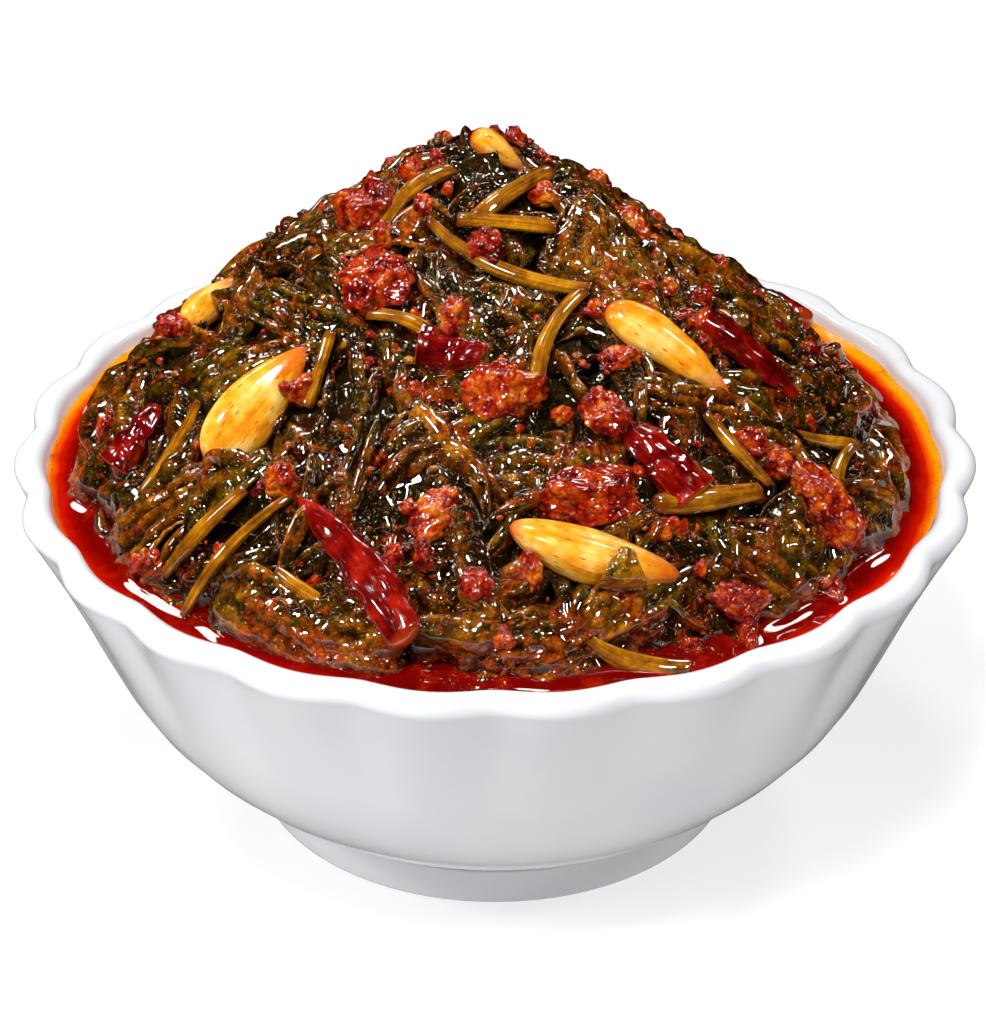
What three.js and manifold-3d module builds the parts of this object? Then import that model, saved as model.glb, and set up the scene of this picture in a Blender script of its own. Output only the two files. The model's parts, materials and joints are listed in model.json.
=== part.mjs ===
// A bowl of gongura (sorrel leaf) pickle: a white opal-glass bowl with a scalloped rim and a foot ring,
// red chilli oil up to just under the rim, and a heap of cooked leaves that stands well above it, with
// garlic cloves, dried red chillies, lumps of ground masala and leaf stems lying in its surface.
// Millimetres, +Z up. The bowl's axis is the Z axis and its foot ring stands on z = 0.

import * as THREE from 'three';
import { mergeVertices } from 'three/addons/utils/BufferGeometryUtils.js';
import { ImprovedNoise } from 'three/addons/math/ImprovedNoise.js';
import Module from 'manifold-3d';

const wasm = await Module();
wasm.setup();

// ---------------------------------------------------------------- driving dimensions

const gap = 0.3;                    // clearance between pieces that touch
const seat = 0.45;                  // clearance of the pickle from the bowl's flat-sided wall

// bowl
const lobes = 23;                   // scallops round the rim
const rimRadius = 75.05;            // outside of the rim, halfway between a lobe's top and a valley
const rimHeight = 62;
const scallop = 1.3;                // a lobe's top and a valley stand this far out and in
const lip = 3.9;                    // width of the rounded lip
const lipFlat = 0.7;                // half width of the lip's top
const lipDrop = 1.7;                // the lip rounds down by this much to the wall
const footRadius = 40;
const footHeight = 6.8;
const footWidth = 2.8;              // flat bottom of the foot ring
const recessHeight = 3.2;           // hollow under the bowl, inside the foot ring
const floorHeight = 7.8;            // inside bottom of the bowl
const stepsPerLobe = 3;

// contents
const oilLevel = 59.5;
const oilDepth = 9.5;               // the ring of oil is this deep at the wall
const heapRise = 55.6;              // the cone's tip above the oil, before it is rounded off
const heapRadius = 66;              // radius of the heap where it leaves the oil, outside its bays
const summit = new THREE.Vector2(-4, 6);
const heapCone = 0.82;              // below 1: pointed top
const heapBelly = 0.67;             // below 1: steep foot
const heapTip = 0.025;              // rounding of the tip, as a share of the heap's reach
const clumpSize = 10.5;             // distance across a clump of leaves
const clumpHeight = 6;              // how far a clump stands out of the heap
const heapSides = 44;

// ---------------------------------------------------------------- helpers

const noise = new ImprovedNoise();
const degrees = THREE.MathUtils.degToRad;

// Keeps only the positions, with shared corners merged, so that the mesh is closed.
function closedGeometry(geometry) {
  geometry.deleteAttribute('normal');
  geometry.deleteAttribute('uv');
  return mergeVertices(geometry, 1e-4);
}

// Moves every vertex of a geometry by a function of its position.
function moveVertices(geometry, move) {
  const position = geometry.attributes.position;
  const point = new THREE.Vector3();
  for (let i = 0; i < position.count; i += 1) {
    point.fromBufferAttribute(position, i);
    move(point);
    position.setXYZ(i, point.x, point.y, point.z);
  }
  return geometry;
}

// Revolves (radius, height) points, listed from the bottom's centre outwards and up, about the Z axis.
function revolve(points, segments) {
  const geometry = closedGeometry(new THREE.LatheGeometry(points, segments));
  return geometry.rotateX(Math.PI / 2);
}

function toSolid(geometry) {
  const vertProperties = new Float32Array(geometry.attributes.position.array);
  const triVerts = new Uint32Array(geometry.index.array);
  return new wasm.Manifold(new wasm.Mesh({ numProp: 3, vertProperties, triVerts }));
}

function toGeometry(solid) {
  const mesh = solid.getMesh();
  const geometry = new THREE.BufferGeometry();
  geometry.setAttribute('position', new THREE.BufferAttribute(new Float32Array(mesh.vertProperties), 3));
  geometry.setIndex(new THREE.BufferAttribute(new Uint32Array(mesh.triVerts), 1));
  return geometry;
}

// A cut can leave crumbs beside the piece: the piece is the largest body.
function largestBody(solid) {
  const bodies = solid.decompose();
  bodies.sort((a, b) => b.volume() - a.volume());
  return bodies[0];
}

const group = new THREE.Group();

function addPart(name, geometry, look) {
  const mesh = new THREE.Mesh(geometry, new THREE.MeshStandardMaterial(look));
  mesh.name = name;
  group.add(mesh);
}

// ---------------------------------------------------------------- bowl

const opalGlass = { color: 0xf4f5f7, roughness: 0.12, metalness: 0 };
const outerFluteFoot = 22;          // the flutes run down the outside to this height
const fluteFullness = 0.4;          // below 1: broad lobes with narrow valleys
const footInset = 0.3;              // the wall starts this far in from the foot ring's outside
const oilFloor = oilLevel - oilDepth;

// Outside of the wall from the foot ring up to the lip.
const outerWall = [
  new THREE.Vector2(footRadius - footInset, footHeight),
  new THREE.Vector2(51, 15.2),
  new THREE.Vector2(62.1, 29.7),
  new THREE.Vector2(67.8, 44.3),
  new THREE.Vector2(71.5, 54.8),
  new THREE.Vector2(rimRadius, rimHeight - lipDrop),
];

// Inside of the wall from the lip down to the middle of the floor; the scallops end where the oil starts.
const innerWall = [
  new THREE.Vector2(rimRadius - lip, rimHeight - lipDrop),
  new THREE.Vector2(70.2, oilLevel),
  new THREE.Vector2(65.9, oilFloor),
  new THREE.Vector2(60.7, 35),
  new THREE.Vector2(51.4, 20.8),
  new THREE.Vector2(38, 11.3),
  new THREE.Vector2(0, floorHeight),
];

// Radius of the inside of the wall at a height, before the scallops.
function innerRadius(height) {
  const above = innerWall.findLastIndex((point) => point.y >= height);
  const high = innerWall[above];
  const low = innerWall[above + 1];
  return THREE.MathUtils.mapLinear(height, low.y, high.y, low.x, high.x);
}

// How far a scallop pushes the wall out at this angle and height.
function flute(angle, height, fluteFoot) {
  const wave = 0.5 + 0.5 * Math.cos(lobes * (angle - Math.PI / 2));
  const ramp = THREE.MathUtils.inverseLerp(fluteFoot, rimHeight, height);
  return scallop * Math.max(0, ramp) * (2 * wave ** fluteFullness - 1);
}

// The outside is fluted down the wall, and the inside only above the oil.
function fluteVertices(geometry) {
  return moveVertices(geometry, (point) => {
    if (point.z < outerFluteFoot) return;
    const radius = Math.hypot(point.x, point.y);
    const inside = radius < innerRadius(Math.min(point.z, innerWall[0].y)) + lip / 2;
    const angle = Math.atan2(point.y, point.x);
    const scale = 1 + flute(angle, point.z, inside ? oilLevel : outerFluteFoot) / radius;
    point.x *= scale;
    point.y *= scale;
  });
}

function makeBowl() {
  const lipTop = [
    new THREE.Vector2(rimRadius - lip / 2 + lipFlat, rimHeight),
    new THREE.Vector2(rimRadius - lip / 2 - lipFlat, rimHeight),
  ];
  const foot = [
    new THREE.Vector2(0, recessHeight),
    new THREE.Vector2(footRadius - footWidth - recessHeight / 2, recessHeight),
    new THREE.Vector2(footRadius - footWidth, 0),
    new THREE.Vector2(footRadius, 0),
  ];
  const geometry = revolve([...foot, ...outerWall, ...lipTop, ...innerWall], lobes * stepsPerLobe);
  addPart('bowl', fluteVertices(geometry), opalGlass);
}

// ---------------------------------------------------------------- heap of cooked leaves

const cookedLeaf = { color: 0x3a2c12, roughness: 0.35, metalness: 0 };

// Bays in the heap's foot, where the pool of oil is wider: direction, half width and depth.
const bays = [
  { at: degrees(18), width: degrees(48), depth: 4.2 },
  { at: degrees(140), width: degrees(30), depth: 4.8 },
  { at: degrees(-62), width: degrees(26), depth: 2 },
];

// Places where the heap swells (+) or sinks (-) by this height, over this radius.
const swells = [
  { x: -56, y: 5, radius: 7, height: 2.2 },
  { x: -44, y: 18, radius: 6, height: -3.4 },
  { x: -31, y: 19, radius: 7, height: 3.4 },
  { x: -23, y: 14, radius: 7, height: -1.2 },
  { x: -15, y: 16, radius: 6, height: -1.2 },
  { x: 8, y: 14, radius: 6, height: -4.4 },
  { x: 28, y: 27, radius: 10, height: -5.2 },
  { x: 34, y: 12, radius: 5, height: -1.5 },
  { x: 46, y: 24, radius: 8, height: -2.8 },
];
const footWaver = 1.4;              // unevenness of the heap's foot
const footWaves = 5;                // waves of it round the heap, about
const footSlice = 7.3;              // where the noise is cut for the foot, and for the clumps
const clumpSlice = 3.7;

// Radius of the heap's foot round the bowl's axis.
function heapFoot(angle) {
  const around = noise.noise(footWaves * Math.cos(angle), footWaves * Math.sin(angle), footSlice);
  let radius = heapRadius + footWaver * around;
  for (const bay of bays) {
    const turn = Math.atan2(Math.sin(angle - bay.at), Math.cos(angle - bay.at));
    radius -= bay.depth * Math.exp(-((turn / bay.width) ** 2));
  }
  return radius;
}

// Distance from the summit to the heap's foot in this direction.
function heapReach(angle) {
  const along = summit.x * Math.cos(angle) + summit.y * Math.sin(angle);
  return -along + Math.sqrt(along ** 2 - summit.lengthSq() + heapFoot(angle) ** 2);
}

// Clumps and hollows of leaves, faded out at the summit and at the foot.
function clumpRelief(x, y, share) {
  const fade = Math.sin(Math.PI * share) ** 0.5;
  return clumpHeight * fade * noise.noise(x / clumpSize, y / clumpSize, clumpSlice);
}

function swellRelief(x, y) {
  let relief = 0;
  for (const swell of swells) {
    const away = Math.hypot(x - swell.x, y - swell.y) / swell.radius;
    relief += swell.height * Math.exp(-(away ** 2));
  }
  return relief;
}

// Height of the heap's surface; share is 0 at the summit and 1 at the foot.
function heapHeight(x, y) {
  const dx = x - summit.x;
  const dy = y - summit.y;
  const share = Math.min(1, Math.hypot(dx, dy) / heapReach(Math.atan2(dy, dx)));
  const rounded = Math.min(1, Math.hypot(share, heapTip));
  const rise = heapRise * (1 - rounded ** heapCone) ** heapBelly;
  return oilLevel + rise + clumpRelief(x, y, share) + swellRelief(x, y);
}

const heapRings = [1, 0.98, 0.92, 0.83, 0.73, 0.62, 0.51, 0.4, 0.29, 0.18, 0.08];

// The heap is revolved with flat rings, and each ring is then carried to its own outline and height.
// outset grows it on every side, for the cut in the oil.
function heapSolid(outset) {
  const clear = seat - outset;
  const deep = innerWall.filter((point) => point.y < oilFloor).reverse();
  const below = deep.map((point) => new THREE.Vector2(Math.max(0, point.x - clear), point.y + clear));
  const shoulder = new THREE.Vector2(innerRadius(oilFloor) - clear, oilFloor - gap);
  const above = heapRings.map((share) => new THREE.Vector2(share * heapRadius, oilLevel + 1));
  const top = new THREE.Vector2(0, oilLevel + 1);
  const geometry = revolve([...below, shoulder, ...above, top], heapSides);
  moveVertices(geometry, (point) => {
    if (point.z < oilLevel) return;
    const share = Math.hypot(point.x, point.y) / heapRadius;
    const angle = Math.atan2(point.y, point.x);
    const reach = share * (heapReach(angle) + outset);
    point.x = summit.x + reach * Math.cos(angle);
    point.y = summit.y + reach * Math.sin(angle);
    point.z = heapHeight(point.x, point.y) + outset;
  });
  return toSolid(geometry);
}

// ---------------------------------------------------------------- toppings

const garlicLook = { color: 0xe2b04a, roughness: 0.25, metalness: 0 };
const chilliLook = { color: 0x8c0b10, roughness: 0.2, metalness: 0 };
const masalaLook = { color: 0xa82012, roughness: 0.35, metalness: 0 };
const stemLook = { color: 0x7c6420, roughness: 0.3, metalness: 0 };

// Point of the heap's surface beside (x, y): along its heading and to the left of it.
function heapPoint({ x, y, heading }, along, side) {
  const angle = degrees(heading);
  const px = x + along * Math.cos(angle) - side * Math.sin(angle);
  const py = y + along * Math.sin(angle) + side * Math.cos(angle);
  return new THREE.Vector3(px, py, heapHeight(px, py));
}

// A frame that lies on the heap: X along the heading from end to end, Z out of the heap. A long piece
// spans the hollows under it, so its middle is halfway between the surface and the line through its ends.
function layOnHeap(size) {
  const reach = 0.4 * size.length;
  const across = 2;
  const head = heapPoint(size, reach, 0);
  const tail = heapPoint(size, -reach, 0);
  const xAxis = head.clone().sub(tail).normalize();
  const yAxis = heapPoint(size, 0, across).sub(heapPoint(size, 0, -across));
  const zAxis = new THREE.Vector3().crossVectors(xAxis, yAxis).normalize();
  yAxis.crossVectors(zAxis, xAxis);
  const middle = head.add(tail).multiplyScalar(0.5).lerp(heapPoint(size, 0, 0), 0.5);
  middle.addScaledVector(zAxis, size.lift);
  return new THREE.Matrix4().makeBasis(xAxis, yAxis, zAxis).setPosition(middle);
}

// A body turned about its own length: (position along, radius) from a profile function, then bent
// sideways by bow and pressed flat by flatness, lying along X.
function turnedBody({ length, width, profile, steps, sides, bow = 0, flatness = 1, grow = 0 }) {
  const points = [];
  for (let i = 0; i <= steps; i += 1) {
    const share = i / steps;
    const radius = i === 0 || i === steps ? 0 : (width / 2) * profile(share) + grow;
    points.push(new THREE.Vector2(radius, (share - 0.5) * (length + 2 * grow)));
  }
  const geometry = closedGeometry(new THREE.LatheGeometry(points, sides));
  return moveVertices(geometry, (point) => {
    const along = point.y;
    const share = along / length;
    const side = point.x + bow * (1 - 4 * share ** 2);
    const up = -point.z * flatness;
    point.set(along, side, up);
  });
}

// Garlic clove: blunt root end, full belly, drawn out to a tip.
function cloveProfile(share) {
  const bellyPlace = 0.72;
  const fullness = 0.62;
  const rootWidth = 1.04;
  const taper = 0.3;
  return Math.sin(Math.PI * share ** bellyPlace) ** fullness * (rootWidth - taper * share);
}

// Dried chilli: blunt where its stalk was, long taper to a thin tip.
function chilliProfile(share) {
  const shoulder = 0.12;
  const taperStart = 2.6;           // the higher, the later the taper starts
  const tipFullness = 0.8;
  return Math.min(1, Math.sqrt(share / shoulder)) * (1 - share ** taperStart) ** tipFullness;
}

function cloveBody(size, grow) {
  return turnedBody({ ...size, profile: cloveProfile, steps: 6, sides: 6, flatness: 0.85, grow });
}

function chilliBody(size, grow) {
  return turnedBody({ ...size, profile: chilliProfile, steps: 6, sides: 5, flatness: 0.8, grow });
}

// Lump of ground masala: a ball knocked out of round, a little flatter than it is wide.
function masalaBody({ length, width, x, y }, grow) {
  const fineFrom = 10;              // longer lumps than this have more faces
  const knockDepth = 0.45;
  const knockSize = 1.6;
  const flatness = 0.85;
  const geometry = closedGeometry(new THREE.IcosahedronGeometry(1, length > fineFrom ? 1 : 0));
  return moveVertices(geometry, (point) => {
    const place = point.clone().multiplyScalar(knockSize);
    const knock = 1 + knockDepth * noise.noise(place.x + x, place.y + y, place.z);
    point.x *= (length / 2) * knock + grow;
    point.y *= (width / 2) * knock + grow;
    point.z *= (width / 2) * flatness * knock + grow;
  });
}

// Leaf stem: a thin rod that follows the heap, bowed sideways.
function stemBody(size, grow) {
  const longFrom = 13;              // longer stems than this have one more bend
  const sides = 5;
  const stations = 4;
  const points = [];
  for (let i = 0; i <= stations; i += 1) {
    const share = i / stations - 0.5;
    const side = (size.bow ?? 0) * (1 - 4 * share ** 2);
    const point = heapPoint(size, share * (size.length + 2 * grow), side);
    point.z += size.lift;
    points.push(point);
  }
  const section = new THREE.Shape();
  section.absarc(0, 0, size.width / 2 + grow, 0, 2 * Math.PI);
  const corners = section.getSpacedPoints(sides).slice(0, sides);
  const extrudePath = new THREE.CatmullRomCurve3(points);
  const steps = size.length > longFrom ? 3 : 2;
  return closedGeometry(new THREE.ExtrudeGeometry(new THREE.Shape(corners), { extrudePath, steps }));
}

// Where each topping lies: x, y on plan and its heading from +X, thick end first. The pieces of one kind
// are in order from the top of the heap down, and the last few of each kind lie on the back.
const garlic = [
  { x: 1.2, y: 4.6, heading: -10, length: 10, width: 5.8, lift: -1 },
  { x: 25, y: -22.4, heading: -14, length: 22.5, width: 8, bow: 0.6, lift: 1.2 },
  { x: -34.2, y: -27.6, heading: 28, length: 23, width: 12.5, bow: 0.8, lift: 1 },
  { x: 13.8, y: -53, heading: 0, length: 26, width: 9, bow: -1.2, lift: 1.6 },
  { x: -44.6, y: 6, heading: 46, length: 12, width: 7, lift: 0.4 },
  { x: 22, y: 53, heading: 112, length: 24, width: 9, bow: 1.4, lift: 1 },
  { x: -28, y: 50, heading: 20, length: 23, width: 8.4, bow: -1, lift: 1 },
];

const chillies = [
  { x: 38.2, y: -15.3, heading: -3, length: 23, width: 6.8, bow: 0.8, lift: 0.6 },
  { x: -6.3, y: -28.3, heading: 4, length: 11.5, width: 7, lift: 0.8 },
  { x: 23.6, y: -39.6, heading: 150, length: 19.5, width: 7.4, bow: -0.6, lift: 1.2 },
  { x: -53.8, y: -18.3, heading: 35, length: 12, width: 8, lift: 0.8 },
  { x: -20.1, y: -53.6, heading: 128, length: 30, width: 8, bow: -1.4, lift: 1.8 },
  { x: 45, y: 37, heading: 126, length: 21, width: 7, bow: -1, lift: 0.8 },
  { x: -8, y: 48, heading: 196, length: 24, width: 7.2, bow: -1.2, lift: 1 },
];

const masalas = [
  { x: -18.6, y: -2.4, heading: 20, length: 10.5, width: 9, lift: 0.2 },
  { x: 20, y: 0.8, heading: -30, length: 10, width: 7.6, lift: 0.3 },
  { x: -17.7, y: -17, heading: 15, length: 10.5, width: 9.5, lift: 1 },
  { x: 16.8, y: -36.2, heading: -28, length: 8, width: 7.6, lift: 1.4 },
  { x: 0.3, y: -32.2, heading: 5, length: 11.5, width: 8.6, lift: 1.4 },
  { x: 13.2, y: -45, heading: 10, length: 15.5, width: 8, lift: 0.8 },
  { x: 48, y: -32.4, heading: -50, length: 12, width: 8, lift: 0.6 },
  { x: -8.2, y: -48.8, heading: 60, length: 9, width: 7.4, lift: 0.4 },
  { x: 34.4, y: -51.2, heading: 30, length: 10, width: 7.6, lift: 0.4 },
  { x: 7, y: 41, heading: 30, length: 11, width: 8.4, lift: 0.2 },
  { x: -45, y: 37, heading: 80, length: 10, width: 8, lift: 0.4 },
  { x: 38, y: 50, heading: 140, length: 10.5, width: 9, lift: 0.4 },
];

const stems = [
  { x: 2.7, y: -3.4, heading: 225, length: 16, width: 3.2, lift: 1.2 },
  { x: -12, y: -4.2, heading: 201, length: 11.5, width: 3, lift: 0.6 },
  { x: 2, y: -13.6, heading: -18, length: 24.6, width: 2.6, bow: -2.4, lift: 1.6 },
  { x: 9.8, y: -24.9, heading: 245, length: 17.5, width: 2.8, bow: -1.6, lift: 1.5 },
  { x: -13.4, y: -24.8, heading: -25, length: 11.5, width: 2.5, lift: 0.8 },
  { x: -25.8, y: -27.2, heading: 243, length: 7.5, width: 2.6, lift: 0.8 },
  { x: 35.5, y: -33.5, heading: -41, length: 12, width: 2.6, lift: 0.9 },
  { x: 30.9, y: -42.4, heading: 28, length: 16.5, width: 2.8, bow: -0.6, lift: 1.4 },
  { x: 50, y: -20.6, heading: 22, length: 11, width: 2.4, lift: 0.8 },
  { x: -48.5, y: -25.6, heading: 210, length: 10, width: 2.6, lift: 0.8 },
  { x: -42.3, y: -41.6, heading: 195, length: 12.5, width: 2.8, lift: 1.2 },
  { x: -37.5, y: -46.3, heading: 206, length: 17.5, width: 2.1, lift: 1 },
  { x: -26, y: -55.4, heading: -31, length: 12, width: 2.3, bow: -0.6, lift: 0.6 },
  { x: 20.4, y: -62.8, heading: -10, length: 14, width: 2.8, lift: 1.2 },
  { x: 1.6, y: -9.2, heading: 3, length: 14.5, width: 2.8, lift: 1 },
  { x: 52.4, y: -23, heading: 250, length: 7.5, width: 2.4, lift: 0.8 },
  { x: 31, y: 37, heading: 110, length: 17, width: 3, bow: 1.5, lift: 1 },
  { x: -20, y: 40, heading: 130, length: 18, width: 2.8, bow: -1.5, lift: 1 },
];

// Every topping with the shape it has and the slightly larger shape that its hollow in the heap has.
function makeToppings(names, table, look, body, lies) {
  return table.map((size, index) => {
    const place = lies ? layOnHeap(size) : new THREE.Matrix4();
    const solid = toSolid(body(size, 0).applyMatrix4(place));
    const cutter = toSolid(body(size, gap).applyMatrix4(place));
    return { name: `${names}_${index + 1}`, look, solid, cutter };
  });
}

// Pieces listed first lie on top: each later piece is cut clear of the ones above it.
const toppings = [
  ...makeToppings('masala', masalas, masalaLook, masalaBody, true),
  ...makeToppings('stem', stems, stemLook, stemBody, false),
  ...makeToppings('garlic', garlic, garlicLook, cloveBody, true),
  ...makeToppings('chilli', chillies, chilliLook, chilliBody, true),
];

toppings.forEach((topping, index) => {
  let solid = topping.solid;
  for (const above of toppings.slice(0, index)) solid = solid.subtract(above.cutter);
  addPart(topping.name, toGeometry(largestBody(solid)), topping.look);
});

function cutToppings(solid) {
  let rest = solid;
  for (const topping of toppings) rest = rest.subtract(topping.cutter);
  return largestBody(rest);
}

// ---------------------------------------------------------------- oil

const chilliOil = { color: 0x9c1004, roughness: 0.08, metalness: 0 };

// A disc of oil that fills the bowl between the heap's shoulder and the oil's level, less the heap.
function makeOil() {
  const edge = innerWall.filter((point) => point.y >= oilFloor && point.y <= oilLevel).reverse();
  const profile = [
    new THREE.Vector2(0, oilFloor),
    ...edge.map((point) => new THREE.Vector2(point.x - gap, point.y)),
    new THREE.Vector2(0, oilLevel),
  ];
  const disc = toSolid(revolve(profile, lobes * stepsPerLobe));
  const ring = disc.subtract(heapSolid(gap));
  addPart('oil', toGeometry(cutToppings(ring)), chilliOil);
}

makeBowl();
makeOil();
addPart('pickle', toGeometry(cutToppings(heapSolid(0))), cookedLeaf);

export default group;
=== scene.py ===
import json
import math

import bmesh
import bpy
import numpy as np
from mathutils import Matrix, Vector
from mathutils.bvhtree import BVHTree

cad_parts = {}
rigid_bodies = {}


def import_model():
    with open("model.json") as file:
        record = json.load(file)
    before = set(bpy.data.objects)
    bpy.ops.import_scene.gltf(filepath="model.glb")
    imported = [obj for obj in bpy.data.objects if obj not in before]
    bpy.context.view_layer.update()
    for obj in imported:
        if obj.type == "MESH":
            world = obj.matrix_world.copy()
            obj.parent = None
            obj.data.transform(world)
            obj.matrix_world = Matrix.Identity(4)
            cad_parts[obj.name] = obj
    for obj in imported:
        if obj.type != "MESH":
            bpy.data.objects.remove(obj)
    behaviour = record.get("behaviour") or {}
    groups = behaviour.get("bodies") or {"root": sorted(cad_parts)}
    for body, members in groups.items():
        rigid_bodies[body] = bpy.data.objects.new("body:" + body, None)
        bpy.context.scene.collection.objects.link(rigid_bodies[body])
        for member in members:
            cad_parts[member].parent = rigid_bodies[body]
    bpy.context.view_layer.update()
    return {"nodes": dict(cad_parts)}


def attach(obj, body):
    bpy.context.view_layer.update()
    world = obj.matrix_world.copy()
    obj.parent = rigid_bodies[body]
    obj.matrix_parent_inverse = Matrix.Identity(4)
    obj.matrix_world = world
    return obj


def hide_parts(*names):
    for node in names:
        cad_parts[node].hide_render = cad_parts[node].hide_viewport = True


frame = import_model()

mm = 0.001
scene = bpy.context.scene

# ---------------------------------------------------------------- table, light and camera
# A lit white table in an even shade that throws no reflections, so that wet things keep their own colours
# between sparks. Two wide soft lights fill the front and the left; six small bright ones make the sparks
# and the crescents on the oil. The camera looks down on the bowl from in front.

camera_height = 307.6 * mm
camera_back = 435.5 * mm
camera_aim = Vector((-0.3, -5.9, 51.7)) * mm
lens = 111


def lamp(name, place, size, watts, aim=(0, 0, 75), reflected=True):
    data = bpy.data.lights.new(name, "AREA")
    data.shape, data.size, data.energy = "DISK", size * mm, watts
    lamp_object = bpy.data.objects.new(name, data)
    scene.collection.objects.link(lamp_object)
    lamp_object.visible_glossy = reflected
    lamp_object.location = Vector(place) * mm
    lamp_object.rotation_euler = (Vector(aim) - Vector(place)).to_track_quat("-Z", "Y").to_euler()


camera_data = bpy.data.cameras.new("camera")
camera_data.lens, camera_data.sensor_width = lens, 36
camera_data.clip_start, camera_data.clip_end = 0.02, 20
camera = bpy.data.objects.new("camera", camera_data)
scene.collection.objects.link(camera)
camera.location = (0, -camera_back, camera_height)
camera.rotation_euler = (camera_aim - camera.location).to_track_quat("-Z", "Y").to_euler()
scene.camera = camera

lamp("front fill", (-60, -400, 690), 420, 1.5, reflected=False)
lamp("left fill", (-520, -240, 400), 300, 1.55, reflected=False)
lamp("key spark", (-70, -340, 650), 110, 2.4)
lamp("left spark", (-430, -240, 420), 80, 0.75)
lamp("right spark", (440, -200, 440), 80, 0.65)
lamp("back right spark", (330, 330, 560), 150, 0.85)
lamp("back left spark", (-360, 300, 520), 150, 0.85)
lamp("back spark", (-30, 250, 640), 140, 1.0)

world = bpy.data.worlds.new("studio shade")
scene.world = world
world.use_nodes = True
world.node_tree.nodes["Background"].inputs["Color"].default_value = (1, 1, 1, 1)
world.node_tree.nodes["Background"].inputs["Strength"].default_value = 0.05
world.cycles_visibility.glossy = False
scene.view_settings.view_transform = "Standard"


class Value:
    """A shader socket that adds, multiplies and compares like a number."""

    def __init__(self, finish, socket):
        self.finish, self.socket = finish, socket

    def __add__(self, other):
        return self.finish.maths("ADD", self, other)

    def __sub__(self, other):
        return self.finish.maths("SUBTRACT", self, other)

    def __rsub__(self, other):
        return self.finish.maths("SUBTRACT", other, self)

    def __mul__(self, other):
        return self.finish.maths("MULTIPLY", self, other)

    def __pow__(self, other):
        return self.finish.maths("POWER", self, other)

    __radd__, __rmul__ = __add__, __mul__

    def clamped(self):
        return self.finish.maths("MINIMUM", self.finish.maths("MAXIMUM", self, 0.0), 1.0)


class Finish:
    """One material: its nodes are made by node(), and skin() joins them to the surface."""

    def __init__(self, name):
        self.material = bpy.data.materials.new(name)
        self.material.use_nodes = True
        self.tree = self.material.node_tree
        self.shader = self.tree.nodes["Principled BSDF"]

    def node(self, kind, settings=None, values=None, output=0):
        made = self.tree.nodes.new(kind)
        for name, setting in (settings or {}).items():
            if name == "stops":
                ramp = made.color_ramp
                while len(ramp.elements) < len(setting):
                    ramp.elements.new(1)
                for element, (place, colour) in zip(ramp.elements, setting):
                    element.position, element.color = place, (*colour, 1)
            else:
                setattr(made, name, setting)
        for name, value in (values or {}).items():
            if isinstance(value, Value):
                self.tree.links.new(value.socket, made.inputs[name])
            else:
                made.inputs[name].default_value = value
        return Value(self, made.outputs[output])

    def maths(self, operation, first, second):
        return self.node("ShaderNodeMath", {"operation": operation}, {0: first, 1: second})

    def place(self, size, stretch=(1, 1, 1), attribute=None):
        """Coordinates in which one unit is size millimetres, from the object or from an attribute."""
        if attribute:
            coordinates = self.node("ShaderNodeAttribute", {"attribute_name": attribute}, output="Vector")
        else:
            coordinates = self.node("ShaderNodeTexCoord", output="Object")
        scale = [1 / (size * mm * part) for part in stretch]
        return self.node("ShaderNodeMapping", {}, {"Vector": coordinates, "Scale": scale})

    def attribute(self, name):
        return self.node("ShaderNodeAttribute", {"attribute_name": name}, output="Fac")

    def cloudy(self, place, detail=3.0, rough=0.55):
        values = {"Vector": place, "Scale": 1.0, "Detail": detail, "Roughness": rough}
        return self.node("ShaderNodeTexNoise", {}, values)

    def grains(self, place):
        """Distance from the middle of the nearest grain, with about one grain to a unit."""
        return self.node("ShaderNodeTexVoronoi", {}, {"Vector": place, "Scale": 1.0}, output="Distance")

    def ramp(self, share, *stops):
        return self.node("ShaderNodeValToRGB", {"stops": stops}, {"Fac": share})

    def between(self, share, low, high, start=0.0, end=1.0):
        settings = {"interpolation_type": "SMOOTHSTEP"}
        values = {"Value": share, "From Min": start, "From Max": end, "To Min": low, "To Max": high}
        return self.node("ShaderNodeMapRange", settings, values)

    def mixed(self, share, first, second):
        """A mix of two colours; a Mix node's sockets for colours are 6, 7 and output 2."""
        first, second = (part if isinstance(part, Value) else (*part, 1) for part in (first, second))
        return self.node("ShaderNodeMix", {"data_type": "RGBA"}, {0: share, 6: first, 7: second}, output=2)

    def bump(self, height, depth):
        return self.node("ShaderNodeBump", {}, {"Height": height, "Distance": depth * mm, "Strength": 1.0})

    def skin(self, **sockets):
        names = {"colour": "Base Color", "roughness": "Roughness", "normal": "Normal", "coat": "Coat Weight"}
        for name, value in sockets.items():
            socket = self.shader.inputs[names.get(name, name.replace("_", " ").title())]
            if isinstance(value, Value):
                self.tree.links.new(value.socket, socket)
            else:
                socket.default_value = value
        return self.material


table_half_width = 4                # metres
table = bmesh.new()
bmesh.ops.create_grid(table, x_segments=1, y_segments=1, size=table_half_width)
table_mesh = bpy.data.meshes.new("table_top")
table.to_mesh(table_mesh)
table.free()
table_top = bpy.data.objects.new("table_top", table_mesh)
scene.collection.objects.link(table_top)
table_look = Finish("lit white table")
table_tone = table_look.between(table_look.cloudy(table_look.place(60)), 0.42, 0.46)
table_mesh.materials.append(table_look.skin(colour=table_look.mixed(table_tone, (0, 0, 0), (1, 1, 1)),
                                            roughness=0.6, emission_color=(1, 1, 1, 1),
                                            emission_strength=0.60))
table_top.visible_glossy = False


# ---------------------------------------------------------------- bowl
# Pressed white opal glass, about 4 mm thick, on a plain foot ring. The wall is one turned profile with a
# rounded lip; 23 scallops push the rim in and out and run down the outside as fading flutes.

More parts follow.
